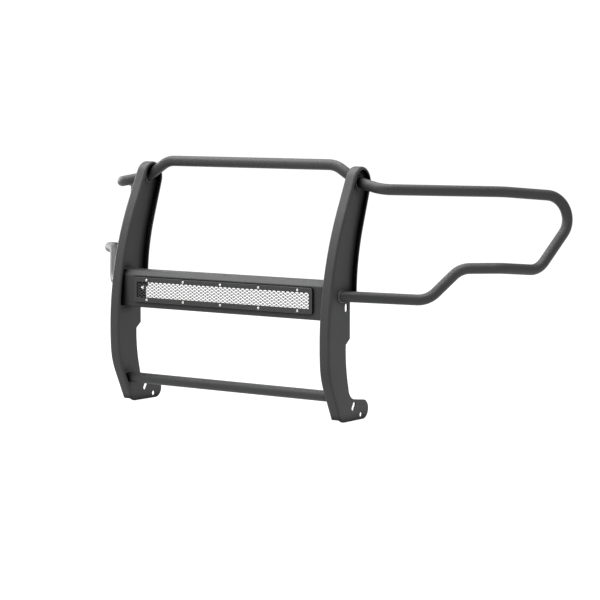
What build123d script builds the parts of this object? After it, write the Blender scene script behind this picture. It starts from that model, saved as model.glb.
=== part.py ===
"""Front grille guard for a pickup truck, with a light-bar housing.

Two plate uprights edged with a formed channel carry a top tube, a lower tube, a sheet-metal
crossbar with a screwed mesh cover, and one wrap-around headlamp tube on each side.
X is across the vehicle, +Y points back to the vehicle and +Z is up, all in millimetres.
"""
from build123d import *
from math import atan2, cos, pi, radians, sin, tan
import os

# ---- driving dimensions -------------------------------------------------------------------
UPRIGHT_SPACING = 914.4     # between the mid-planes of the two web plates
WEB_T = 4.8                 # upright web plate
TUBE_D = 38.1               # every tube
TUBE_WALL = 2.4
WELD_LEG = 5.0              # leg of the fillet weld beads
WELD_BULGE = 3.6            # how far the bead's round face stands from the corner, on each leg
SLANT_BEAD = 4.0            # thickness of the weld ring round a tube that meets a web at a slant
SLANT_BEAD_H = 3.5          # how far that ring stands off the web
BAR_BEAD = 4.0              # leg of the bead round the crossbar's ends

# channel that wraps the edge of each web
BAND_W = 42.0
BAND_T = 4.0
BAND_LIP = 11.0             # depth of the channel, over the sheet
BAND_ROUND = 9.0            # outer corner of the channel
BAND_INBOARD = 2.5          # the channel's middle is this far inboard of the web's
BAND_START = (43.9, 16.0)   # Y, Z of the channel's foot
BAND_HEADING = -25.4        # degrees from vertical, negative leans forward
LOOP_R = 56.0
# (radius, turn): radius 0 is a straight run, and a positive turn leans back
BAND_RUNS = [
    (0.0, 116.0),
    (246.5, 21.6),
    (1020.0, 30.3),
    (0.0, 128.5),
    (LOOP_R, 172.7),
    (0.0, 141.0),
    (710.0, -20.5),
]

# upright foot and its holes, as Y, Z
TAB_R = 34.0
TAB_Y = 211.5
REAR_EDGE_Y = 126.0
NOTCH_TOP_Z = 290.0
NOTCH = (100.5, 270.5)
WAIST = (104.5, 186.0)      # middle of the long hollow below the notch
SWEEP = [(118.0, 118.0), (128.0, 92.0), (153.0, 76.0)]
TOE = [(90.0, 2.5), (78.0, 4.5), (66.0, 11.0)]
FOOT_HOLE_R = 8.75
FOOT_HOLE = (198.5, 17.0)
FOOT_SLOT = (151.0, 51.0)
FOOT_SLOT_W = 17.0
FOOT_SLOT_L = 33.0
FOOT_SLOT_LEAN = 32.0       # degrees from vertical
UPPER_SLOT = (102.5, 398.0)
UPPER_SLOT_W = 17.5
UPPER_SLOT_L = 30.0

# tubes
TOP_TUBE_Z = 882.5
TOP_BEND_X = 365.0
TOP_BEND_R = 95.0
JOINT_Y = 181.0             # where the top and wing tubes meet the web, inside the loop
JOINT_Z = 824.0
LOWER_TUBE_Y = 48.5
LOWER_TUBE_Z = 96.0
WING_FOOT_Y = 75.5          # where the wing tube meets the web again
WING_FOOT_Z = 440.0
WING_CORNERS = [            # X, Y, Z of each bend, and its centreline radius
    (565.5, 160.0, 803.5, 52.0),
    (832.5, 528.0, 788.0, 400.0),
    (1009.0, 824.5, 758.0, 82.0),
    (928.5, 612.5, 513.5, 78.0),
    (866.5, 448.5, 529.0, 95.0),
    (761.5, 357.5, 529.5, 84.0),
    (687.5, 262.5, 423.0, 89.0),
]

# crossbar: a folded sheet, open at the back
SHEET_T = 3.0
BAR_FRONT_Y = 8.0
BAR_DEPTH = 68.0
BAR_BOTTOM_Z = 359.0
BAR_FACE_H = 116.0
FACET_RISE = 18.0
FACET_RUN = 16.0
BAR_BEND_R = 7.0
BAR_RETURN = 13.0           # depth of the return flange along the open back
BACK_PLATE_X = 387.0        # inner end of each back plate
CABLE_HOLE_R = 7.5
CABLE_HOLE_X = 402.0
CABLE_HOLE_RISE = 1.5       # above the window's middle
FEET_SLOT_X = 400.0         # light-bar feet slots in the crossbar's floor
FEET_SLOT_Y = 40.0
FEET_SLOT_W = 9.0
FEET_SLOT_L = 24.0

# mesh cover
COVER_L = 774.0
COVER_H = 90.0
COVER_DEPTH = 6.5
COVER_T = 2.0
COVER_CORNER_R = 9.0
COVER_EDGE_R = 1.5          # rounding of the tray's front edge
WINDOW_L = 746.0
WINDOW_H = 57.0
WINDOW_Z = 424.5
WINDOW_CORNER_R = 4.0
SHELL_WINDOW_L = 750.0
SHELL_WINDOW_H = 55.0
MESH_T = 1.5
MESH_L = 762.0
MESH_H = 82.8
CELL_X = 19.0
CELL_Z = 11.5
CELL_OPEN = 0.82            # share of the lattice diamond that is open
SCREW_PITCH = 163.5
SCREW_COLUMNS = 5
ROW_SPACING = 71.0
SCREW_R = 2.5
SCREW_L = 20.0
HEAD_R = 4.6
HEAD_H = 2.8
HEAD_ROUND = 2.1
SOCKET_R = 1.7
SOCKET_DEPTH = 1.7
NUT_BODY_R = 3.5
NUT_BODY_L = 13.0
NUT_FLANGE_R = 5.2
NUT_FLANGE_T = 1.0
NUT_BULGE = 1.2             # how far the set nut swells behind the sheet
NUT_BULGE_L = 3.0
SPACER_R = 5.5
SCREW_PLAY = 0.3            # clearance round a screw's shank
NUT_PLAY = 0.05             # clearance round the shank in its nut, and round the nut in its hole

# ---- worked-out values --------------------------------------------------------------------
HALF = UPRIGHT_SPACING / 2
WEB_IN = HALF - WEB_T / 2
WEB_OUT = HALF + WEB_T / 2
TUBE_R = TUBE_D / 2
BAR_BACK_Y = BAR_FRONT_Y + BAR_DEPTH
BAR_SHOULDER_Z = BAR_BOTTOM_Z + BAR_FACE_H
BAR_TOP_Z = BAR_SHOULDER_Z + FACET_RISE
BAR_L = 2 * WEB_IN
BAND_X = HALF - BAND_INBOARD
SPARE = 10.0                # length that a cutting tool runs past a face
BEYOND = 3000.0             # larger than the whole guard
SIDES = {"left": -1, "right": 1}


def yz(y, z, x=0.0):
    """A point in the upright's plane."""
    return Vector(x, y, z)


def forward(heading):
    """Unit vector for a heading measured from vertical, leaning back."""
    return Vector(0, sin(radians(heading)), cos(radians(heading)))


def inward(heading):
    """Unit vector square to a heading, to the inside of the channel."""
    return Vector(0, cos(radians(heading)), -sin(radians(heading)))


def band_edges(offset):
    """Edges of the channel's run, moved inward by offset: straight runs and tangent arcs."""
    point = yz(*BAND_START)
    heading = BAND_HEADING
    edges = []
    for radius, amount in BAND_RUNS:
        start = point + inward(heading) * offset
        if radius == 0.0:
            point = point + forward(heading) * amount
            edges.append(Edge.make_line(start, point + inward(heading) * offset))
            continue
        side = 1 if amount > 0 else -1
        centre = point + inward(heading) * (side * radius)
        reach = offset - side * radius
        middle = centre + inward(heading + amount / 2) * reach
        heading = heading + amount
        point = centre - inward(heading) * (side * radius)
        edges.append(Edge.make_three_point_arc(start, middle, centre + inward(heading) * reach))
    return edges


def mirrored(shape, side):
    """The right-hand shape, or its mirror image for the left."""
    return shape if side > 0 else mirror(shape, about=Plane.YZ)


def upright_band():
    """Rolled channel that runs up the front, over the loop and down the back of a web."""
    outer = Pos(0, BAND_LIP / 2) * Rectangle(BAND_W, BAND_LIP)
    outer = fillet(outer.vertices().group_by(Axis.Y)[0], BAND_ROUND)
    inner = Pos(0, BAND_T + BAND_LIP / 2) * Rectangle(BAND_W - 2 * BAND_T, BAND_LIP)
    inner = fillet(inner.vertices().group_by(Axis.Y)[0], BAND_ROUND - BAND_T)
    start = yz(*BAND_START)
    plane = Plane(start, x_dir=(1, 0, 0), z_dir=forward(BAND_HEADING))
    channel = sweep(plane * (outer - inner), path=Wire(band_edges(0.0)))
    return Pos(BAND_X, 0, 0) * channel


def foot_edges(top, bottom):
    """Back edge of the web below the channel: notch, sweep and rounded mounting tab."""
    corners = {
        "step": yz(REAR_EDGE_Y, top.Z),
        "notch_top": yz(REAR_EDGE_Y, NOTCH_TOP_Z),
        "notch": yz(*NOTCH),
        "waist": yz(*WAIST),
        "sweep_start": yz(*SWEEP[0]),
        "sweep": yz(*SWEEP[1]),
        "sweep_end": yz(*SWEEP[2]),
        "tab_top": yz(TAB_Y, 2 * TAB_R),
        "tab_back": yz(TAB_Y + TAB_R, TAB_R),
        "tab_bottom": yz(TAB_Y, 0.0),
        "toe": yz(*TOE[0]),
        "toe_round": yz(*TOE[1]),
        "toe_front": yz(*TOE[2]),
    }
    c = corners
    return [
        Edge.make_line(top, c["step"]),
        Edge.make_line(c["step"], c["notch_top"]),
        Edge.make_line(c["notch_top"], c["notch"]),
        Edge.make_three_point_arc(c["notch"], c["waist"], c["sweep_start"]),
        Edge.make_three_point_arc(c["sweep_start"], c["sweep"], c["sweep_end"]),
        Edge.make_line(c["sweep_end"], c["tab_top"]),
        Edge.make_three_point_arc(c["tab_top"], c["tab_back"], c["tab_bottom"]),
        Edge.make_line(c["tab_bottom"], c["toe"]),
        Edge.make_three_point_arc(c["toe"], c["toe_round"], c["toe_front"]),
        Edge.make_line(c["toe_front"], bottom),
    ]


def slot_cutter(centre, width, length, lean):
    """Round-ended slot through the web, leaning back from vertical."""
    plane = Plane(yz(*centre), x_dir=forward(lean), z_dir=(1, 0, 0))
    return extrude(plane * SlotOverall(length, width), amount=SPARE, both=True)


def upright_web():
    """Flat web plate inside the channel, with its foot, bolt hole and slots."""
    edges = band_edges(BAND_T)
    edges += foot_edges(edges[-1] @ 1, edges[0] @ 0)
    web = extrude(Face(Wire(edges)), amount=WEB_T / 2, dir=(1, 0, 0), both=True)
    hole = Pos(0, *FOOT_HOLE) * Rot(0, 90, 0) * Cylinder(FOOT_HOLE_R, 4 * SPARE)
    slots = slot_cutter(FOOT_SLOT, FOOT_SLOT_W, FOOT_SLOT_L, FOOT_SLOT_LEAN)
    slots += slot_cutter(UPPER_SLOT, UPPER_SLOT_W, UPPER_SLOT_L, 0.0)
    return Pos(HALF, 0, 0) * (web - hole - slots)


def tube(corners, radii):
    """Bent round tube through the corners."""
    path = FilletPolyline(*corners, radius=radii)
    plane = Plane(path @ 0, z_dir=path % 0)
    outer = sweep(plane * Circle(TUBE_R), path=path)
    bore = sweep(plane * Circle(TUBE_R - TUBE_WALL), path=path)
    return outer - bore


def beyond(first, second, distance=3 * SPARE):
    """The first point moved back along the line from the second, so that the end can be cut."""
    return first + (first - second).normalized() * distance


def between_planes(shape, low, high):
    """The part of a shape with X from low to high."""
    return shape & (Pos((low + high) / 2, 0, 0) * Box(high - low, BEYOND, BEYOND))


def top_tube():
    """Top tube, whose ends bend down to the webs inside the uprights' loops."""
    end = Vector(HALF, JOINT_Y, JOINT_Z)
    bend = Vector(TOP_BEND_X, JOINT_Y, TOP_TUBE_Z)
    far = beyond(end, bend)
    corners = [Vector(-far.X, far.Y, far.Z), Vector(-bend.X, bend.Y, bend.Z), bend, far]
    return between_planes(tube(corners, [TOP_BEND_R, TOP_BEND_R]), -WEB_IN, WEB_IN)


def wing_tube():
    """Headlamp wing: from the web inside the loop, round the headlamp and back to the web."""
    start = Vector(WEB_OUT, JOINT_Y, JOINT_Z)
    end = Vector(WEB_OUT, WING_FOOT_Y, WING_FOOT_Z)
    bends = [Vector(x, y, z) for x, y, z, radius in WING_CORNERS]
    radii = [radius for x, y, z, radius in WING_CORNERS]
    corners = [beyond(start, bends[0])] + bends + [beyond(end, bends[-1])]
    return between_planes(tube(corners, radii), WEB_OUT, BEYOND)


def lower_tube():
    """Straight lower tube between the webs."""
    ring = Circle(TUBE_R) - Circle(TUBE_R - TUBE_WALL)
    plane = Plane((0, LOWER_TUBE_Y, LOWER_TUBE_Z), z_dir=(1, 0, 0))
    return extrude(plane * ring, amount=WEB_IN, both=True)


def ring_bead(y, z, x, side):
    """Fillet weld round a tube that meets a web face at X = x, on the side that it leaves."""
    bulge = (TUBE_R + WELD_BULGE, WELD_BULGE)
    section = make_face(
        Line((TUBE_R, 0), (TUBE_R + WELD_LEG, 0))
        + ThreePointArc((TUBE_R + WELD_LEG, 0), bulge, (TUBE_R, WELD_LEG))
        + Line((TUBE_R, WELD_LEG), (TUBE_R, 0))
    )
    bead = revolve(Plane.XZ * section, axis=Axis.Z)
    return Pos(x, y, z) * Rot(0, 90 * side, 0) * bead


def slanted_bead(foot, towards, low, high):
    """Weld ring between X = low and X = high, round a tube that leaves a web at a slant."""
    plane = Plane(foot, z_dir=towards - foot)
    long_ring = Circle(TUBE_R + SLANT_BEAD) - Circle(TUBE_R)
    return between_planes(extrude(plane * long_ring, amount=2 * TUBE_D, both=True), low, high)


def top_bead():
    """Weld ring at the end of the top tube, on the inner face of the web."""
    foot = Vector(HALF, JOINT_Y, JOINT_Z)
    bend = Vector(TOP_BEND_X, JOINT_Y, TOP_TUBE_Z)
    return slanted_bead(foot, bend, WEB_IN - SLANT_BEAD_H, WEB_IN)


def wing_top_bead():
    """Weld ring at the upper end of the wing tube, on the outer face of the web."""
    foot = Vector(WEB_OUT, JOINT_Y, JOINT_Z)
    return slanted_bead(foot, Vector(*WING_CORNERS[0][:3]), WEB_OUT, WEB_OUT + SLANT_BEAD_H)


def wing_low_bead():
    """Weld ring at the lower end of the wing tube, on the outer face of the web."""
    foot = Vector(WEB_OUT, WING_FOOT_Y, WING_FOOT_Z)
    return slanted_bead(foot, Vector(*WING_CORNERS[-1][:3]), WEB_OUT, WEB_OUT + SLANT_BEAD_H)


def bar_outline(inset):
    """Folded section of the crossbar, seen from its end, moved inward by inset."""
    front = BAR_FRONT_Y + inset
    bottom = BAR_BOTTOM_Z + inset
    top = BAR_TOP_Z - inset
    lean = atan2(FACET_RUN, FACET_RISE)
    shoulder = BAR_SHOULDER_Z - inset * tan(lean / 2)
    crest = BAR_FRONT_Y + FACET_RUN + inset * tan(pi / 4 - lean / 2)
    return [
        yz(BAR_BACK_Y, bottom),
        yz(front, bottom),
        yz(front, shoulder),
        yz(crest, top),
        yz(BAR_BACK_Y, top),
    ]


def crossbar_shell():
    """Folded light-bar housing with a front window, return flanges and feet slots."""
    edges = FilletPolyline(*bar_outline(0.0), radius=BAR_BEND_R).edges()
    edges += FilletPolyline(*bar_outline(SHEET_T), radius=BAR_BEND_R - SHEET_T).edges()
    edges += [
        Edge.make_line(yz(BAR_BACK_Y, BAR_BOTTOM_Z), yz(BAR_BACK_Y, BAR_BOTTOM_Z + SHEET_T)),
        Edge.make_line(yz(BAR_BACK_Y, BAR_TOP_Z - SHEET_T), yz(BAR_BACK_Y, BAR_TOP_Z)),
    ]
    face = Face(Wire.combine(edges)[0])
    shell = extrude(face, amount=WEB_IN, dir=(1, 0, 0), both=True)
    lip_y = BAR_BACK_Y - SHEET_T / 2
    for z in (BAR_BOTTOM_Z + (SHEET_T + BAR_RETURN) / 2, BAR_TOP_Z - (SHEET_T + BAR_RETURN) / 2):
        shell += Pos(0, lip_y, z) * Box(BAR_L, SHEET_T, BAR_RETURN - SHEET_T)
    window = Plane((0, BAR_FRONT_Y, WINDOW_Z), x_dir=(1, 0, 0), z_dir=(0, 1, 0))
    opening = RectangleRounded(SHELL_WINDOW_L, SHELL_WINDOW_H, WINDOW_CORNER_R)
    for x, z in screw_places():
        opening += Pos(x, -z) * Circle(NUT_BODY_R)
    shell -= extrude(window * opening, amount=SPARE, both=True)
    floor = Plane((0, FEET_SLOT_Y, BAR_BOTTOM_Z), x_dir=(1, 0, 0), z_dir=(0, 0, 1))
    for side in SIDES.values():
        slot = Pos(side * FEET_SLOT_X, 0) * SlotOverall(FEET_SLOT_L, FEET_SLOT_W)
        shell -= extrude(floor * slot, amount=SPARE, both=True)
    return shell


def screw_places():
    """X and height from the window's middle of each cover screw."""
    first = -(SCREW_COLUMNS - 1) / 2
    places = []
    for row in (-1, 1):
        for column in range(SCREW_COLUMNS):
            places.append(((first + column) * SCREW_PITCH, row * ROW_SPACING / 2))
    return places


def back_plate():
    """Plate that closes one end of the crossbar's back, with a cable hole."""
    bottom = BAR_BOTTOM_Z + SHEET_T
    top = BAR_TOP_Z - SHEET_T
    y = BAR_BACK_Y - 1.5 * SHEET_T
    length = WEB_IN - BACK_PLATE_X
    middle = (WEB_IN + BACK_PLATE_X) / 2
    plate = Pos(middle, y, (bottom + top) / 2) * Box(length, SHEET_T, top - bottom)
    hole_z = WINDOW_Z + CABLE_HOLE_RISE
    return plate - Pos(CABLE_HOLE_X, y, hole_z) * Rot(90, 0, 0) * Cylinder(CABLE_HOLE_R, 2 * SPARE)


def crossbar_bead():
    """Weld bead round the crossbar's end, on the inner face of the web."""
    outline = bar_outline(0.0)
    path = FilletPolyline(*[Vector(WEB_IN, p.Y, p.Z) for p in outline], radius=BAR_BEND_R)
    plane = Plane(path @ 0, x_dir=(-1, 0, 0), z_dir=path % 0)
    corner = make_face(Polyline((0, 0), (BAR_BEAD, 0), (0, BAR_BEAD), close=True))
    return sweep(plane * corner, path=path)


def cover_frame():
    """Shallow tray, open at its ends, that holds the mesh over the light bar."""
    plane = Plane((0, 0, WINDOW_Z), x_dir=(1, 0, 0), z_dir=(0, 1, 0))
    skin = extrude(plane * RectangleRounded(COVER_L, COVER_H, COVER_CORNER_R), amount=COVER_DEPTH)
    skin = fillet(skin.faces().sort_by(Axis.Y)[0].edges(), COVER_EDGE_R)
    inside = Plane((0, COVER_T, WINDOW_Z), x_dir=(1, 0, 0), z_dir=(0, 1, 0))
    hollow = RectangleRounded(COVER_L - 2 * COVER_T, COVER_H - 2 * COVER_T, COVER_CORNER_R - COVER_T)
    for side in SIDES.values():
        hollow += Pos(side * COVER_L / 2, 0) * Rectangle(2 * COVER_CORNER_R, COVER_H + SPARE)
    skin -= extrude(inside * hollow, amount=COVER_DEPTH)
    holes = RectangleRounded(WINDOW_L, WINDOW_H, WINDOW_CORNER_R)
    for x, z in screw_places():
        holes += Pos(x, -z) * Circle(SCREW_R + SCREW_PLAY)
    return skin - extrude(plane * holes, amount=SPARE, both=True)


def diamond(x, z):
    """One open cell of the mesh, as a closed wire at the mesh's front face."""
    half_x = CELL_X / 2 * CELL_OPEN
    half_z = CELL_Z / 2 * CELL_OPEN
    y = COVER_T
    points = [(x - half_x, y, z), (x, y, z + half_z), (x + half_x, y, z), (x, y, z - half_z)]
    return Wire.make_polygon(points, close=True)


def ring(radius, x, z):
    """A round hole in the mesh sheet."""
    return Wire.make_circle(radius, Plane((x, COVER_T, z), z_dir=(0, -1, 0)))


def cover_mesh():
    """Expanded-metal sheet behind the window, clamped by the cover screws."""
    columns = int(WINDOW_L / CELL_X)
    rows = round(WINDOW_H / CELL_Z)
    holes = []
    for row in range(2 * rows - 1):
        shift = row % 2
        for column in range(columns - shift):
            x = (column - (columns - 1 - shift) / 2) * CELL_X
            z = WINDOW_Z + (row - rows + 1) * CELL_Z / 2
            holes.append(diamond(x, z))
    for x, z in screw_places():
        holes.append(ring(SCREW_R + SCREW_PLAY, x, WINDOW_Z + z))
    plane = Plane((0, COVER_T, WINDOW_Z), x_dir=(1, 0, 0), z_dir=(0, -1, 0))
    border = Wire.make_rect(MESH_L, MESH_H, plane)
    return extrude(Face(border, holes), amount=MESH_T, dir=(0, 1, 0))


def at_screws(piece):
    """A copy of a piece at every cover screw; the piece is made along +Y from the cover face."""
    return [Pos(x, 0, WINDOW_Z + z) * piece for x, z in screw_places()]


def along_y(radius, start, length, hole=0.0):
    """Round bar or bush along Y."""
    middle = Pos(0, start + length / 2, 0) * Rot(90, 0, 0)
    bar = middle * Cylinder(radius, length)
    return bar - middle * Cylinder(hole, 2 * length) if hole else bar


def cover_screw():
    """Button-head screw with a hexagon socket."""
    head = along_y(HEAD_R, -HEAD_H, HEAD_H)
    head = fillet(head.edges().sort_by(Axis.Y)[0], HEAD_ROUND)
    socket = Plane((0, -HEAD_H, 0), z_dir=(0, 1, 0)) * RegularPolygon(SOCKET_R, 6)
    head -= extrude(socket, amount=SOCKET_DEPTH)
    return head + along_y(SCREW_R, 0.0, SCREW_L)


def cover_nut():
    """Rivet nut set in the crossbar's face."""
    flange = along_y(NUT_FLANGE_R, BAR_FRONT_Y - NUT_FLANGE_T, NUT_FLANGE_T)
    body = along_y(NUT_BODY_R - NUT_PLAY, BAR_FRONT_Y - NUT_FLANGE_T, NUT_BODY_L)
    bulge = along_y(NUT_BODY_R + NUT_BULGE, BAR_FRONT_Y + SHEET_T, NUT_BULGE_L)
    return flange + body + bulge - along_y(SCREW_R + NUT_PLAY, 0.0, 4 * NUT_BODY_L)


def cover_spacer():
    """Bush between the mesh and the rivet nut."""
    start = COVER_T + MESH_T
    return along_y(SPACER_R, start, BAR_FRONT_Y - NUT_FLANGE_T - start, SCREW_R + SCREW_PLAY)


def build():
    """Every sub-part by name, before the origin is set."""
    parts = {}
    for name, side in SIDES.items():
        parts["upright_web_" + name] = mirrored(upright_web(), side)
        parts["upright_band_" + name] = mirrored(upright_band(), side)
        parts["wing_tube_" + name] = mirrored(wing_tube(), side)
        parts["crossbar_back_plate_" + name] = mirrored(back_plate(), side)
        parts["crossbar_weld_" + name] = mirrored(crossbar_bead(), side)
        lower = ring_bead(LOWER_TUBE_Y, LOWER_TUBE_Z, WEB_IN, -1)
        parts["lower_tube_weld_" + name] = mirrored(lower, side)
        parts["top_tube_weld_" + name] = mirrored(top_bead(), side)
        parts["wing_tube_upper_weld_" + name] = mirrored(wing_top_bead(), side)
        parts["wing_tube_lower_weld_" + name] = mirrored(wing_low_bead(), side)
    parts["top_tube"] = top_tube()
    parts["lower_tube"] = lower_tube()
    parts["crossbar_shell"] = crossbar_shell()
    parts["cover_frame"] = cover_frame()
    parts["cover_mesh"] = cover_mesh()
    parts["cover_screws"] = Compound(children=at_screws(cover_screw()))
    parts["cover_rivet_nuts"] = Compound(children=at_screws(cover_nut()))
    parts["cover_spacers"] = Compound(children=at_screws(cover_spacer()))
    return parts


def main():
    """Set the origin at the middle of the footprint and write one STEP per sub-part."""
    parts = build()
    boxes = [shape.bounding_box() for shape in parts.values()]
    low = min(box.min.Y for box in boxes)
    high = max(box.max.Y for box in boxes)
    floor = min(box.min.Z for box in boxes)
    shift = Pos(0, -(low + high) / 2, -floor)
    os.makedirs("parts", exist_ok=True)
    for name, shape in parts.items():
        export_step(shift * shape, "parts/" + name + ".step")
    print("origin moved by Y", round(-(low + high) / 2, 3), "Z", round(-floor, 3))


main()
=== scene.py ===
"""Looks of the front grille guard: powder coat, expanded mesh, weld beads and studio."""
from math import cos, pi, radians, sin
import random

import bmesh
import bpy
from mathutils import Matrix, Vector


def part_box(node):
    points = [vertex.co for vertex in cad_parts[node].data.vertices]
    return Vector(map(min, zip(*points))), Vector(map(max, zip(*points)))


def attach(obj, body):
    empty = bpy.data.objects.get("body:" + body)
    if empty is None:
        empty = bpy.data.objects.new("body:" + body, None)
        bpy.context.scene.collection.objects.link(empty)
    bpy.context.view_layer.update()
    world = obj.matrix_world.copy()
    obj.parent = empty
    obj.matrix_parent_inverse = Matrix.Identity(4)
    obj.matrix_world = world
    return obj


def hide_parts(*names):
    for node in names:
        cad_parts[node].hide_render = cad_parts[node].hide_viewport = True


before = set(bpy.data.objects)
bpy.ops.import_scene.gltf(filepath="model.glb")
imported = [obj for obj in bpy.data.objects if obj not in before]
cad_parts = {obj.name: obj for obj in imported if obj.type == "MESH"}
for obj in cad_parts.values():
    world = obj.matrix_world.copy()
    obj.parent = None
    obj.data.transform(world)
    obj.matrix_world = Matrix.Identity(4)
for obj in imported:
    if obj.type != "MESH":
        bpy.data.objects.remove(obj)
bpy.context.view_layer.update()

MM = 0.001

# ---- the design's dimensions, in metres, with Y counted back from the cover's face ----------
COVER_LOW, COVER_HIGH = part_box("cover_frame")
FACE_Y = COVER_LOW[1]
WINDOW_Z = (COVER_LOW[2] + COVER_HIGH[2]) / 2
MESH_LOW, MESH_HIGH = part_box("cover_mesh")
MESH_Y = (MESH_LOW[1] + MESH_HIGH[1]) / 2
WEB_LOW, WEB_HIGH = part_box("upright_web_right")
WEB_IN, WEB_OUT = WEB_LOW[0], WEB_HIGH[0]
HALF = (WEB_IN + WEB_OUT) / 2    # half the spacing of the webs' mid-planes
TUBE_LOW, TUBE_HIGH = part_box("lower_tube")
TUBE_R = (TUBE_HIGH[2] - TUBE_LOW[2]) / 2
LOWER_TUBE = Vector((0, (TUBE_LOW[1] + TUBE_HIGH[1]) / 2, (TUBE_LOW[2] + TUBE_HIGH[2]) / 2))
BAR_LOW, BAR_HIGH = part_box("crossbar_shell")
BAR_FACE_H = 116 * MM       # from the crossbar's underside up to its slanted facet
BAR_FACET_D = 16 * MM       # how far back the facet's upper edge is
JOINT_Y = FACE_Y + 181 * MM
JOINT_Z = 824 * MM
JOINT_IN = Vector((HALF, JOINT_Y, JOINT_Z))
JOINT_OUT = Vector((WEB_OUT, JOINT_Y, JOINT_Z))
TOP_BEND = Vector((365 * MM, JOINT_Y, 882.5 * MM))
WING_UPPER_BEND = Vector((565.5 * MM, FACE_Y + 160 * MM, 803.5 * MM))
WING_FOOT = Vector((WEB_OUT, FACE_Y + 75.5 * MM, 440 * MM))
WING_LOWER_BEND = Vector((687.5 * MM, FACE_Y + 262.5 * MM, 423 * MM))
SIDES = {"left": -1, "right": 1}

# ---- camera, room and lights -----------------------------------------------------------------
CAMERA_AZIMUTH = 34.03
CAMERA_ELEVATION = 5.86
CAMERA_DISTANCE = 7.3
CAMERA_TARGET = Vector((0.1863, FACE_Y + 0.224, 0.3992))
CAMERA_LENS = 123.6
CAMERA_SENSOR = 36.0
CAMERA_CLIP_END = 200.0

# sine of the elevation, and how bright the room's wall is there
SKY = [(0.0, 1.0), (0.06, 1.0), (0.1, 0.55), (0.55, 0.5), (0.9, 0.9)]
SKY_STRENGTH = 1.08

FLOOR_REACH = 60.0
FLOOR_COLOUR = (0.12, 0.12, 0.12, 1)
FLOOR_GLOW = (1, 1, 1, 1)
FLOOR_GLOW_STRENGTH = 0.96
FLOOR_ROUGH = 0.9

# name, place, the spot that it points at, size in metres, power in watts
SOFTBOXES = [
    ("overhead", (-0.8, -0.6, 4.5), (0, 0, 0), 6.0, 600.0),
    ("front", (-2.5, -5.5, 3.2), (0, 0, 0.5), 3.5, 70.0),
    ("left", (-6.0, 0.5, 1.8), (-0.5, 0, 0.6), 3.0, 200.0),
    ("left_back", (-6.0, 4.0, 1.5), (-0.8, 0.2, 0.7), 3.5, 110.0),
]

# ---- materials -------------------------------------------------------------------------------
MIX_FIRST, MIX_SECOND, MIX_RESULT = 6, 7, 2     # the Mix node's colour sockets
NOISE_LOW, NOISE_HIGH = 0.3, 0.7                # the range that most noise values lie in

# painted shade: the coat's colour and gloss are darkened in corners and recesses by ambient
# occlusion
PAINTED_SHADE_REACH = 0.036    # how near another surface has to be for the painted shade to darken the coat, in metres
PAINTED_SHADE_BLACK = 0.38     # open share of the surroundings at which the painted shade turns the coat black
PAINTED_SHADE_CLEAR = 0.95     # open share at which the coat keeps its own colour, with no painted shade
PEEL_SCALE = 0.12       # the orange peel's scale as a share of the grain's
SPECK_SCALE = 0.7       # the specks' scale as a share of the grain's
SPECK_STRENGTH = 0.35
DRIFT_SCALE = 7.0

BLACK = (0.021, 0.0214, 0.022)
SOFT_BLACK = (0.031, 0.0314, 0.032)
# the weld beads' coat is the same black powder coat, painted lighter as a painted highlight where
# the beads catch light
LIT_WELD_BLACK = (0.045, 0.0454, 0.046)
SOFT_LIT_WELD_BLACK = (0.065, 0.0654, 0.066)
MESH_BLACK = (0.022, 0.022, 0.023)
SOFT_MESH_BLACK = (0.034, 0.034, 0.035)
STEEL_DARK = (0.6, 0.59, 0.53)
STEEL_LIGHT = (0.76, 0.75, 0.69)
ZINC_DARK = (0.5, 0.5, 0.49)
ZINC_LIGHT = (0.66, 0.65, 0.62)
RUBBER_DARK = (0.012, 0.012, 0.012)
RUBBER_LIGHT = (0.03, 0.03, 0.031)


def principled(name):
    """A new material, its Principled shader and its node tree."""
    material = bpy.data.materials.new(name)
    material.use_nodes = True
    tree = material.node_tree
    return material, tree.nodes["Principled BSDF"], tree


def add(tree, kind, **values):
    """A node with its named inputs or settings filled in."""
    node = tree.nodes.new(kind)
    for key, value in values.items():
        if hasattr(node, key):
            setattr(node, key, value)
        else:
            node.inputs[key].default_value = value
    return node


def noise(tree, coords, scale, detail=3.0, roughness=0.5):
    """Noise texture in object coordinates, scale in cells per metre."""
    node = add(tree, "ShaderNodeTexNoise", Scale=scale, Detail=detail, Roughness=roughness)
    tree.links.new(coords.outputs["Object"], node.inputs["Vector"])
    return node


def mix_colour(tree, factor, first, second):
    """Colour between two colours by a factor socket."""
    node = add(tree, "ShaderNodeMix", data_type="RGBA")
    tree.links.new(factor, node.inputs["Factor"])
    node.inputs[MIX_FIRST].default_value = (*first, 1)
    node.inputs[MIX_SECOND].default_value = (*second, 1)
    return node.outputs[MIX_RESULT]


def multiply_colour(tree, first, second, share):
    """One colour socket darkened by another, by a share of its full effect."""
    node = add(tree, "ShaderNodeMix", data_type="RGBA", blend_type="MULTIPLY")
    node.inputs["Factor"].default_value = share
    tree.links.new(first, node.inputs[MIX_FIRST])
    tree.links.new(second, node.inputs[MIX_SECOND])
    return node.outputs[MIX_RESULT]


def map_range(tree, value, low, high):
    """A noise value spread from low to high."""
    node = add(tree, "ShaderNodeMapRange")
    node.inputs["From Min"].default_value = NOISE_LOW
    node.inputs["From Max"].default_value = NOISE_HIGH
    node.inputs["To Min"].default_value = low
    node.inputs["To Max"].default_value = high
    tree.links.new(value, node.inputs["Value"])
    return node.outputs["Result"]


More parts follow.
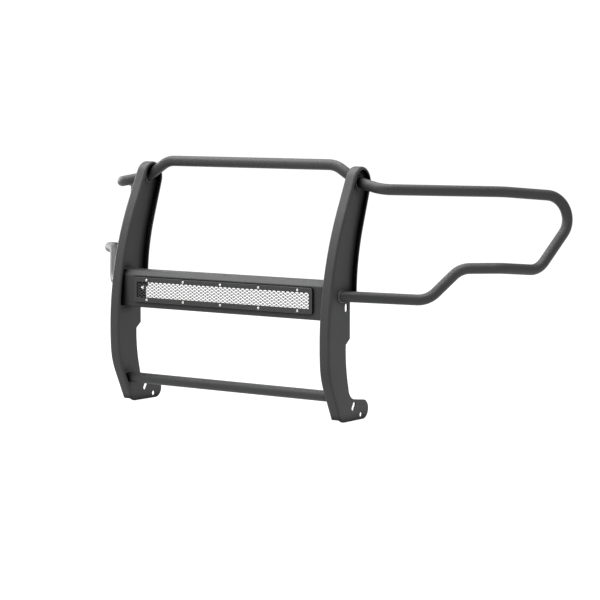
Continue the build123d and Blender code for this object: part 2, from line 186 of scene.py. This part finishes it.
def painted_corner_shade(tree):
    """Painted shade for corners and recesses: 0 in a tight corner, 1 where nothing else is near."""
    corner = tree.nodes.new("ShaderNodeAmbientOcclusion")
    corner.samples = 6
    corner.inputs["Distance"].default_value = PAINTED_SHADE_REACH
    node = add(tree, "ShaderNodeMapRange")
    node.inputs["From Min"].default_value = PAINTED_SHADE_BLACK
    node.inputs["From Max"].default_value = PAINTED_SHADE_CLEAR
    tree.links.new(corner.outputs["AO"], node.inputs["Value"])
    return node.outputs["Result"]


def bump(tree, height, strength, distance, normal=None):
    """Bump of a height, on top of another normal."""
    node = add(tree, "ShaderNodeBump", Strength=strength, Distance=distance)
    tree.links.new(height, node.inputs["Height"])
    if normal is not None:
        tree.links.new(normal, node.inputs["Normal"])
    return node.outputs["Normal"]


def powder_coat(name, dark, light, rough, grain, gloss, edge=0.0):
    """Black powder coat: grain, orange peel, tone drift, painted shade that darkens colour and
    gloss in corners, and softened edges.
    """
    material, shader, tree = principled(name)
    coords = add(tree, "ShaderNodeTexCoord")
    fine = noise(tree, coords, grain, detail=4.0, roughness=0.6)
    peel = noise(tree, coords, grain * PEEL_SCALE, detail=2.0)
    drift = noise(tree, coords, DRIFT_SCALE)
    speck = noise(tree, coords, grain * SPECK_SCALE, detail=2.0)
    tone = mix_colour(tree, drift.outputs["Fac"], dark, light)
    specked = multiply_colour(tree, tone, speck.outputs["Fac"], SPECK_STRENGTH)
    # painted shade: ambient occlusion darkens the base colour and the specular level in corners
    painted_shade = painted_corner_shade(tree)
    shaded_colour = multiply_colour(tree, specked, painted_shade, 1.0)
    tree.links.new(shaded_colour, shader.inputs["Base Color"])
    painted_shade_gloss = add(tree, "ShaderNodeMath", operation="MULTIPLY")
    painted_shade_gloss.inputs[1].default_value = gloss
    tree.links.new(painted_shade, painted_shade_gloss.inputs[0])
    tree.links.new(painted_shade_gloss.outputs["Value"], shader.inputs["Specular IOR Level"])
    worn = map_range(tree, fine.outputs["Fac"], low=rough - 0.06, high=rough + 0.07)
    tree.links.new(worn, shader.inputs["Roughness"])
    base = None
    if edge:
        soft = add(tree, "ShaderNodeBevel", Radius=edge)
        soft.samples = 4
        base = soft.outputs["Normal"]
    wavy = bump(tree, peel.outputs["Fac"], strength=0.22, distance=0.0006, normal=base)
    grained = bump(tree, fine.outputs["Fac"], strength=0.35, distance=0.00025, normal=wavy)
    tree.links.new(grained, shader.inputs["Normal"])
    return material


def bright_steel(name, dark, light, rough):
    """Turned stainless or zinc-plated steel with fine scratches."""
    material, shader, tree = principled(name)
    coords = add(tree, "ShaderNodeTexCoord")
    scratch = noise(tree, coords, scale=1800.0, detail=4.0, roughness=0.7)
    drift = noise(tree, coords, scale=160.0, detail=2.0)
    tone = mix_colour(tree, drift.outputs["Fac"], dark, light)
    tree.links.new(tone, shader.inputs["Base Color"])
    scuffed = map_range(tree, scratch.outputs["Fac"], low=rough - 0.08, high=rough + 0.1)
    tree.links.new(scuffed, shader.inputs["Roughness"])
    scored = bump(tree, scratch.outputs["Fac"], strength=0.15, distance=0.00008)
    tree.links.new(scored, shader.inputs["Normal"])
    shader.inputs["Metallic"].default_value = 1.0
    return material


def rubber(name):
    """Matte black rubber bush."""
    material, shader, tree = principled(name)
    coords = add(tree, "ShaderNodeTexCoord")
    grit = noise(tree, coords, scale=2600.0)
    tone = mix_colour(tree, grit.outputs["Fac"], RUBBER_DARK, RUBBER_LIGHT)
    tree.links.new(tone, shader.inputs["Base Color"])
    rubbed = bump(tree, grit.outputs["Fac"], strength=0.3, distance=0.0001)
    tree.links.new(rubbed, shader.inputs["Normal"])
    shader.inputs["Roughness"].default_value = 0.82
    return material


COAT = powder_coat("powder_coat_black", BLACK, SOFT_BLACK,
                   rough=0.5, grain=1500.0, gloss=0.36, edge=0.0009)
# weld beads: the same powder coat with a lighter colour as a painted highlight, and more gloss
LIT_WELD_COAT = powder_coat("powder_coat_weld_lit", LIT_WELD_BLACK, SOFT_LIT_WELD_BLACK,
                        rough=0.42, grain=1500.0, gloss=0.7)
MESH_COAT = powder_coat("powder_coat_mesh", MESH_BLACK, SOFT_MESH_BLACK,
                        rough=0.45, grain=2600.0, gloss=0.5)
STAINLESS = bright_steel("stainless_screw", STEEL_DARK, STEEL_LIGHT, rough=0.42)
ZINC = bright_steel("zinc_plate", ZINC_DARK, ZINC_LIGHT, rough=0.4)
RUBBER = rubber("spacer_rubber")

NODE_MATERIALS = {
    "cover_screws": STAINLESS,
    "cover_rivet_nuts": ZINC,
    "cover_spacers": RUBBER,
    "cover_mesh": MESH_COAT,
}


def paint_frame():
    """Every CAD node takes its material in its own slots."""
    for name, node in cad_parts.items():
        material = NODE_MATERIALS.get(name, COAT)
        slots = node.material_slots
        if not slots:
            node.data.materials.append(material)
        for item in slots:
            item.material = material


def piece(name, vertices, faces, material, smooth=True):
    """A mesh piece that rides on the guard."""
    mesh = bpy.data.meshes.new(name)
    mesh.from_pydata(vertices, [], faces)
    mesh.materials.append(material)
    work = bmesh.new()
    work.from_mesh(mesh)
    bmesh.ops.recalc_face_normals(work, faces=work.faces)
    work.to_mesh(mesh)
    work.free()
    for face in mesh.polygons:
        face.use_smooth = smooth
    item = bpy.data.objects.new(name, mesh)
    bpy.context.collection.objects.link(item)
    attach(item, "root")
    return item


# ---- expanded mesh ---------------------------------------------------------------------------
CELL_X = 19.0 * MM
CELL_Z = 11.5 * MM
MESH_L = 758.0 * MM
MESH_ROWS = 7
STRAND_W = 2.4 * MM
STRAND_T = 1.1 * MM
STRAND_TILT = radians(28)
STRAND_STEPS = 4            # sections along half a cell
STRAND_FLAT = 1.12          # above 1, the zigzag runs level for a little at its bends
KNUCKLE_SWELL = 0.45        # how much wider the strand is at a bend
KNUCKLE_SHARPNESS = 4
CHAMFER = 0.6               # where the strand's chamfers start, as a share of its half size
STRAND_SECTION = [
    (-1, -CHAMFER), (-1, CHAMFER), (-CHAMFER, 1), (CHAMFER, 1),
    (1, CHAMFER), (1, -CHAMFER), (CHAMFER, -1), (-CHAMFER, -1),
]


def strand(row, verts, faces):
    """One zigzag strand of the expanded sheet, a tilted flat bar with knuckles at its bends."""
    middle = row * CELL_Z / 2
    half_cells = int(MESH_L / CELL_X) * 2
    rings = half_cells * STRAND_STEPS + 1
    sides = len(STRAND_SECTION)
    start = len(verts)
    across = Vector((0, sin(STRAND_TILT), cos(STRAND_TILT)))
    through = Vector((0, cos(STRAND_TILT), -sin(STRAND_TILT)))
    for k in range(rings):
        phase = k / STRAND_STEPS
        x = (phase - half_cells / 2) * CELL_X / 2
        wave = abs((phase + row) % 2 - 1) * 2 - 1
        rise = (CELL_Z / 4 - STRAND_W / 2) * max(-1.0, min(1.0, wave * STRAND_FLAT))
        knuckle = 1.0 + KNUCKLE_SWELL * abs(wave) ** KNUCKLE_SHARPNESS
        half_w = STRAND_W / 2 * knuckle
        half_t = STRAND_T / 2
        centre = Vector((x, MESH_Y, WINDOW_Z + middle + rise))
        for a, b in STRAND_SECTION:
            verts.append(centre + across * (a * half_w) + through * (b * half_t))
    for k in range(rings - 1):
        for j in range(sides):
            a = start + k * sides + j
            b = start + k * sides + (j + 1) % sides
            faces.append((a, b, b + sides, a + sides))
    faces.append(tuple(start + j for j in range(sides)))
    faces.append(tuple(start + (rings - 1) * sides + j for j in reversed(range(sides))))


def expanded_mesh():
    """Expanded-metal sheet behind the cover's window."""
    verts, faces = [], []
    for row in range(-MESH_ROWS + 1, MESH_ROWS):
        strand(row, verts, faces)
    sheet = piece("expanded_mesh", verts, faces, MESH_COAT, smooth=False)
    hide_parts("cover_mesh")


# ---- weld beads ------------------------------------------------------------------------------
BEAD_PITCH = 2.6 * MM
BEAD_STEP = BEAD_PITCH / 5
BEAD_SIDES = 12
BEAD_OFF_TUBE = 0.6 * MM    # from a tube's surface out to the bead's middle line
BEAD_OFF_WEB = 0.4 * MM     # from a web's face out to the middle line of a tube's bead
BEAD_OFF_WEB_BAR = 0.3 * MM # the same for the crossbar's beads
LOWER_BEAD_R = 3.6 * MM
SLANTED_BEAD_R = 3.9 * MM
BAR_BEAD_R = 3.2 * MM
BAR_CORNER_R = 7 * MM

RIPPLE_LOW = 0.86           # a ripple's smallest radius, as a share of the bead's
RIPPLE_SWELL = 0.2          # how much larger it starts
RIPPLE_SHARPNESS = 0.7
RIPPLE_UNEVEN = 0.025       # random part of the radius, either way
RIPPLE_LAG = 0.3            # how far a ripple trails at its crown, as a share of the pitch
BEAD_WIDEN = 1.12           # how much wider than high a bead is
BEAD_END = 0.25             # radius at an open bead's two ends, as a share of its radius
BEAD_TAPER = 2.2            # how gently the open ends taper, in bead radii

TUBE_BEAD_SEEDS = {"left": 12, "right": 11}
TUBE_BEAD_SEED_STEP = 10
BAR_BEAD_SEED = 31


def bead_along(name, points, normals, size, closed, seed, node):
    """Rippled weld bead along points; normals point out of the corner that it fills."""
    rng = random.Random(seed)
    lengths = [0.0]
    for a, b in zip(points, points[1:]):
        lengths.append(lengths[-1] + (b - a).length)
    verts, faces = [], []
    total = len(points)
    for i, (point, out) in enumerate(zip(points, normals)):
        ahead = points[(i + 1) % total] if closed or i + 1 < total else point
        behind = points[i - 1] if closed or i else point
        along = (ahead - behind).normalized()
        out = out.normalized()
        side = along.cross(out).normalized()
        ripple = (lengths[i] / BEAD_PITCH) % 1.0
        swell = (RIPPLE_LOW + RIPPLE_SWELL * (1 - ripple) ** RIPPLE_SHARPNESS
                 + rng.uniform(-RIPPLE_UNEVEN, RIPPLE_UNEVEN))
        fade = 1.0
        if not closed:
            taper = BEAD_TAPER * size
            fade = min(1.0, BEAD_END + lengths[i] / taper,
                       BEAD_END + (lengths[-1] - lengths[i]) / taper)
        radius = size * swell * fade
        for j in range(BEAD_SIDES):
            angle = 2 * pi * j / BEAD_SIDES
            lag = -RIPPLE_LAG * BEAD_PITCH * cos(angle)
            raised = out * (radius * cos(angle))
            spread = side * (radius * BEAD_WIDEN * sin(angle))
            verts.append(point + raised + spread + along * lag)
    rings = total if closed else total - 1
    for i in range(rings):
        for j in range(BEAD_SIDES):
            a = i * BEAD_SIDES + j
            b = i * BEAD_SIDES + (j + 1) % BEAD_SIDES
            c = ((i + 1) % total) * BEAD_SIDES
            faces.append((a, b, c + (j + 1) % BEAD_SIDES, c + j))
    if not closed:
        faces.append(tuple(reversed(range(BEAD_SIDES))))
        last = (total - 1) * BEAD_SIDES
        faces.append(tuple(last + j for j in range(BEAD_SIDES)))
    bead = piece(name, verts, faces, LIT_WELD_COAT)
    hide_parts(node)


def ring_path(centre, axis, radius, plane_x):
    """Where a tube of that axis meets the plane X = plane_x, with the way out of the corner."""
    axis = axis.normalized()
    first = axis.cross(Vector((0, 0, 1))).normalized()
    second = first.cross(axis).normalized()
    outward = 1 if axis.x > 0 else -1
    count = int(2 * pi * radius / BEAD_STEP)
    points, normals = [], []
    for i in range(count):
        angle = 2 * pi * i / count
        around = first * cos(angle) + second * sin(angle)
        point = centre + around * radius
        point = point + axis * ((plane_x - point.x) / axis.x)
        points.append(point)
        normals.append(around + Vector((outward, 0, 0)))
    return points, normals


def mirrored_x(vectors, side):
    """The right-hand vectors, or their mirror images."""
    return [Vector((v.x * side, v.y, v.z)) for v in vectors]


def tube_welds():
    """Beads where the lower tube, wing tubes and top tube meet the webs."""
    inside = WEB_IN - BEAD_OFF_WEB
    outside = WEB_OUT + BEAD_OFF_WEB
    bead_ring_r = TUBE_R + BEAD_OFF_TUBE
    for name, side in SIDES.items():
        seed = TUBE_BEAD_SEEDS[name]
        foot = Vector((WEB_IN, LOWER_TUBE.y, LOWER_TUBE.z))
        points, normals = ring_path(foot, Vector((-1, 0, 0)), bead_ring_r, inside)
        bead_along("lower_tube_bead_" + name, mirrored_x(points, side), mirrored_x(normals, side),
                   LOWER_BEAD_R, True, seed, "lower_tube_weld_" + name)
        slanted = {
            "top_tube": (JOINT_IN, TOP_BEND, inside, "top_tube_weld_"),
            "wing_upper": (JOINT_OUT, WING_UPPER_BEND, outside, "wing_tube_upper_weld_"),
            "wing_lower": (WING_FOOT, WING_LOWER_BEND, outside, "wing_tube_lower_weld_"),
        }
        for label, (foot, bend, plane_x, node) in slanted.items():
            seed += TUBE_BEAD_SEED_STEP
            points, normals = ring_path(foot, bend - foot, bead_ring_r, plane_x)
            bead_along(label + "_bead_" + name, mirrored_x(points, side), mirrored_x(normals, side),
                       SLANTED_BEAD_R, True, seed, node + name)


def rounded_path(corners, radius, step):
    """Points along straight runs with rounded corners, about a step apart."""
    points = []
    runs = []
    for i, corner in enumerate(corners):
        if i in (0, len(corners) - 1):
            runs.append((corner, corner, None))
            continue
        back = (corners[i - 1] - corner).normalized()
        ahead = (corners[i + 1] - corner).normalized()
        half = back.angle(ahead) / 2
        reach = radius / sin(half) * cos(half)
        centre = corner + (back + ahead).normalized() * (radius / sin(half))
        runs.append((corner + back * reach, corner + ahead * reach, centre))
    for i, (enter, leave, centre) in enumerate(runs):
        if centre is not None:
            first, last = enter - centre, leave - centre
            angle = first.angle(last)
            count = max(2, int(radius * angle / step))
            for k in range(count):
                share = k / count
                spread = first * sin((1 - share) * angle) + last * sin(share * angle)
                points.append(centre + spread / sin(angle))
        if i + 1 < len(runs):
            begin, end = leave, runs[i + 1][0]
            count = max(1, int((end - begin).length / step))
            points += [begin.lerp(end, k / count) for k in range(count)]
    points.append(corners[-1])
    return points


def crossbar_welds():
    """Beads along the underside, face, facet and top of the crossbar's ends."""
    back = BAR_HIGH[1]
    front, bottom, top = BAR_LOW[1], BAR_LOW[2], BAR_HIGH[2]
    outline = [(back, bottom), (front, bottom), (front, bottom + BAR_FACE_H),
               (front + BAR_FACET_D, top), (back, top)]
    middle = Vector((0, (front + back) / 2, (bottom + top) / 2))
    for name, side in SIDES.items():
        x = side * (WEB_IN - BEAD_OFF_WEB_BAR)
        corners = [Vector((x, y, z)) for y, z in outline]
        points = rounded_path(corners, BAR_CORNER_R, BEAD_STEP)
        normals = []
        for point in points:
            away = Vector((0, point.y - middle.y, point.z - middle.z)).normalized()
            normals.append(away + Vector((-side, 0, 0)))
        bead_along("crossbar_bead_" + name, points, normals, BAR_BEAD_R, False,
                   BAR_BEAD_SEED + side, "crossbar_weld_" + name)


# ---- studio ----------------------------------------------------------------------------------
def room():
    """A world that is bright at the horizon and overhead, and grey between."""
    world = bpy.data.worlds.new("studio")
    bpy.context.scene.world = world
    world.use_nodes = True
    tree = world.node_tree
    background = tree.nodes["Background"]
    background.inputs["Strength"].default_value = SKY_STRENGTH
    coords = tree.nodes.new("ShaderNodeTexCoord")
    split = tree.nodes.new("ShaderNodeSeparateXYZ")
    ramp = tree.nodes.new("ShaderNodeValToRGB")
    tree.links.new(coords.outputs["Generated"], split.inputs["Vector"])
    tree.links.new(split.outputs["Z"], ramp.inputs["Fac"])
    tree.links.new(ramp.outputs["Color"], background.inputs["Color"])
    stops = ramp.color_ramp.elements
    while len(stops) < len(SKY):
        stops.new(1.0)
    for stop, (height, level) in zip(stops, SKY):
        stop.position = height
        stop.color = (level, level, level, 1)


def glowing_floor():
    """A wide floor that glows nearly white, so that no horizon shows."""
    mesh = bpy.data.meshes.new("floor")
    corners = [(-FLOOR_REACH, -FLOOR_REACH, 0), (FLOOR_REACH, -FLOOR_REACH, 0),
               (FLOOR_REACH, FLOOR_REACH, 0), (-FLOOR_REACH, FLOOR_REACH, 0)]
    mesh.from_pydata(corners, [], [(0, 1, 2, 3)])
    floor = bpy.data.objects.new("floor", mesh)
    bpy.context.scene.collection.objects.link(floor)
    material, shader, _ = principled("studio_floor")
    shader.inputs["Base Color"].default_value = FLOOR_COLOUR
    shader.inputs["Emission Color"].default_value = FLOOR_GLOW
    shader.inputs["Emission Strength"].default_value = FLOOR_GLOW_STRENGTH
    shader.inputs["Roughness"].default_value = FLOOR_ROUGH
    shader.inputs["Specular IOR Level"].default_value = 0.0
    mesh.materials.append(material)


def soft_light(name, place, aim, size, power):
    """Square softbox pointed at a spot."""
    data = bpy.data.lights.new(name, "AREA")
    data.size = size
    data.energy = power
    light = bpy.data.objects.new(name, data)
    light.location = place
    light.rotation_mode = "QUATERNION"
    light.rotation_quaternion = (Vector(aim) - Vector(place)).to_track_quat("-Z", "Y")
    light.visible_camera = False
    bpy.context.scene.collection.objects.link(light)


def studio():
    """White room, glowing floor, and softboxes overhead, in front and on the left."""
    bpy.context.scene.view_settings.view_transform = "Standard"
    room()
    glowing_floor()
    for name, place, aim, size, power in SOFTBOXES:
        soft_light(name, place, aim, size, power)


def camera():
    """Camera at the front right, a little above."""
    data = bpy.data.cameras.new("camera")
    data.lens = CAMERA_LENS
    data.sensor_width = CAMERA_SENSOR
    data.clip_end = CAMERA_CLIP_END
    item = bpy.data.objects.new("camera", data)
    a, e = radians(CAMERA_AZIMUTH), radians(CAMERA_ELEVATION)
    back = Vector((sin(a) * cos(e), -cos(a) * cos(e), sin(e)))
    item.location = CAMERA_TARGET + back * CAMERA_DISTANCE
    item.rotation_mode = "QUATERNION"
    item.rotation_quaternion = (-back).to_track_quat("-Z", "Y")
    bpy.context.scene.collection.objects.link(item)
    bpy.context.scene.camera = item


camera()
studio()
paint_frame()
expanded_mesh()
tube_welds()
crossbar_welds()
